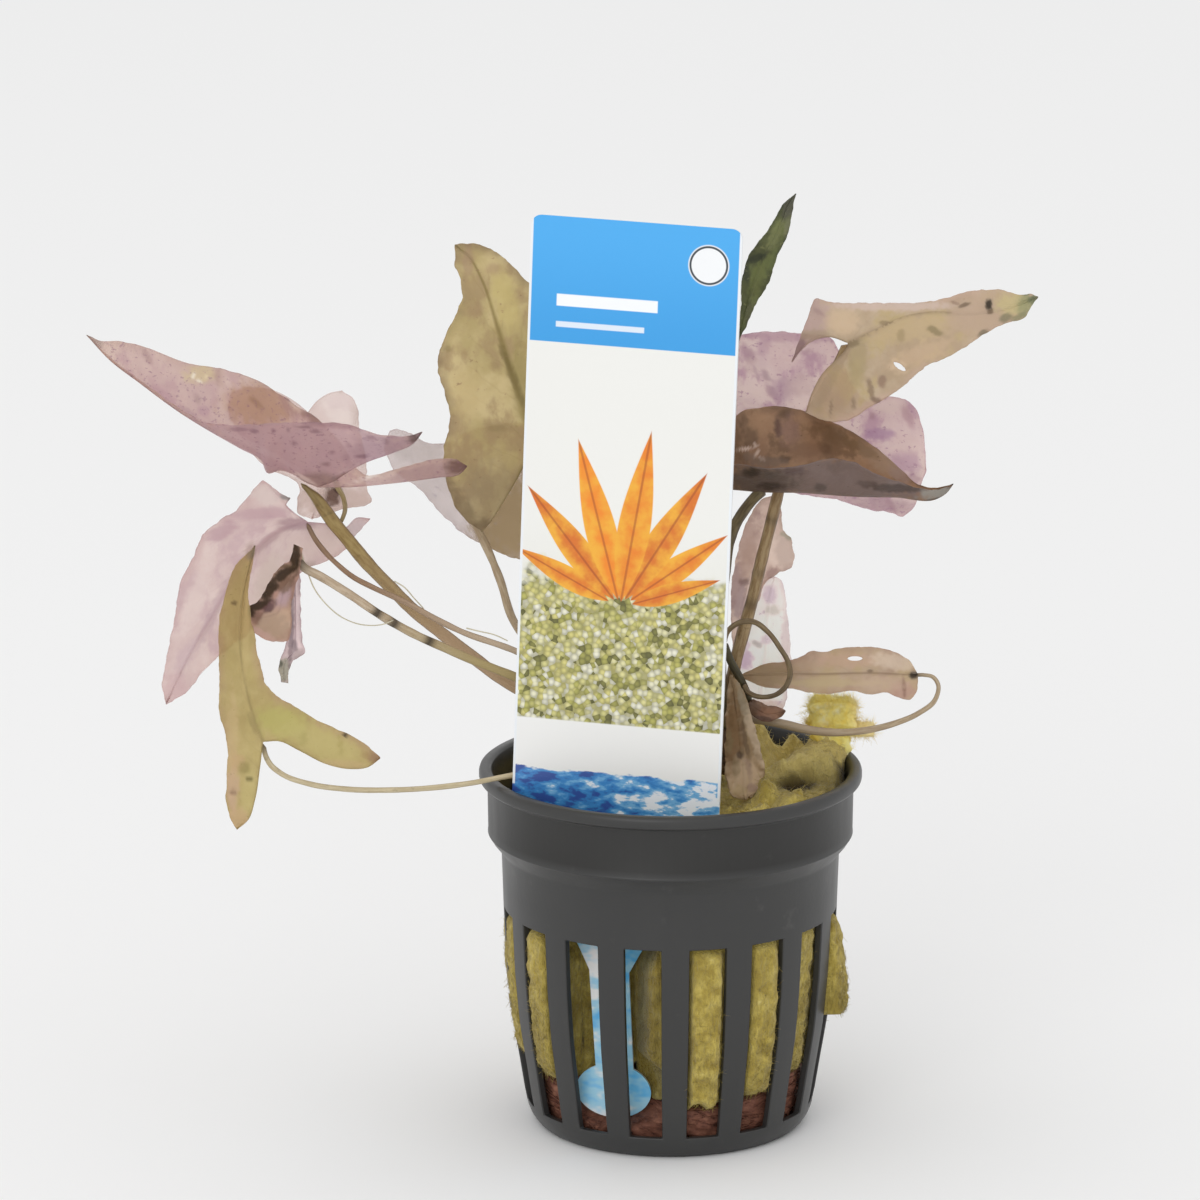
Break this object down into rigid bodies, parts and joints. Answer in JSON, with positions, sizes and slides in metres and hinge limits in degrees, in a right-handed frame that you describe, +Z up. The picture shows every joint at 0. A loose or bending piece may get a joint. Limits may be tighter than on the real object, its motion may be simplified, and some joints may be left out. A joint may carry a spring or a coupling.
{
  "type": "potted water lily plant",
  "caption": "Net pot filled with mineral wool that holds a young red tiger lotus with arrow-shaped leaves on thin stalks and a flat stake label.",
  "frame": {"origin": "centre of the flat underside of the pot", "axes": "+Z up along the pot's axis, -Y towards the front of the label, +X to the right as seen from the front"},
  "size_m": [0.1332, 0.055, 0.1355],
  "materials": {
    "pot_plastic": "satin",
    "mineral_wool": "fibrous",
    "pale_wool": "fibrous",
    "roots": "matt",
    "rootstock": "matt",
    "label_print": "printed",
    "mauve_leaf": "satin",
    "pale_leaf": "satin",
    "olive_leaf": "satin",
    "tan_leaf": "satin",
    "brown_leaf": "satin",
    "dark_leaf": "satin",
    "olive_stalk": "satin",
    "purple_stalk": "satin",
    "tan_stalk": "satin",
    "dark_stalk": "satin"
  },
  "bodies": {
    "root": {"pot": "pot_plastic", "wool": "mineral_wool", "wool_tuft": "pale_wool", "root_mat": "roots", "crown": "rootstock", "label": "label_print", "leaf_left_arrow": "mauve_leaf", "leaf_left_round": "pale_leaf", "leaf_left_drooping": "pale_leaf", "leaf_left_olive": "olive_leaf", "leaf_left_crumpled": "brown_leaf", "leaf_left_crumpled_fold": "mauve_leaf", "leaf_olive_tall": "olive_leaf", "leaf_pale_back": "pale_leaf", "leaf_spear": "dark_leaf", "leaf_right_arrow": "tan_leaf", "leaf_right_pink": "mauve_leaf", "leaf_right_brown": "brown_leaf", "leaf_right_inner_tan": "tan_leaf", "leaf_right_inner_pale": "pale_leaf", "leaf_right_level": "tan_leaf", "leaf_hanging_brown": "brown_leaf", "leaf_small_red": "brown_leaf", "stalk_left_arrow": "olive_stalk", "stalk_left_drooping": "purple_stalk", "stalk_left_crumpled": "tan_stalk", "stalk_left_olive": "tan_stalk", "stalk_left_round": "olive_stalk", "stalk_pale_back": "olive_stalk", "stalk_olive_tall": "olive_stalk", "stalk_spear": "dark_stalk", "stalk_right_arrow": "olive_stalk", "stalk_right_brown": "dark_stalk", "stalk_right_pink": "olive_stalk", "stalk_right_level": "tan_stalk", "stalk_curled": "dark_stalk", "stalk_stub": "dark_stalk"}
  },
  "joints": []
}
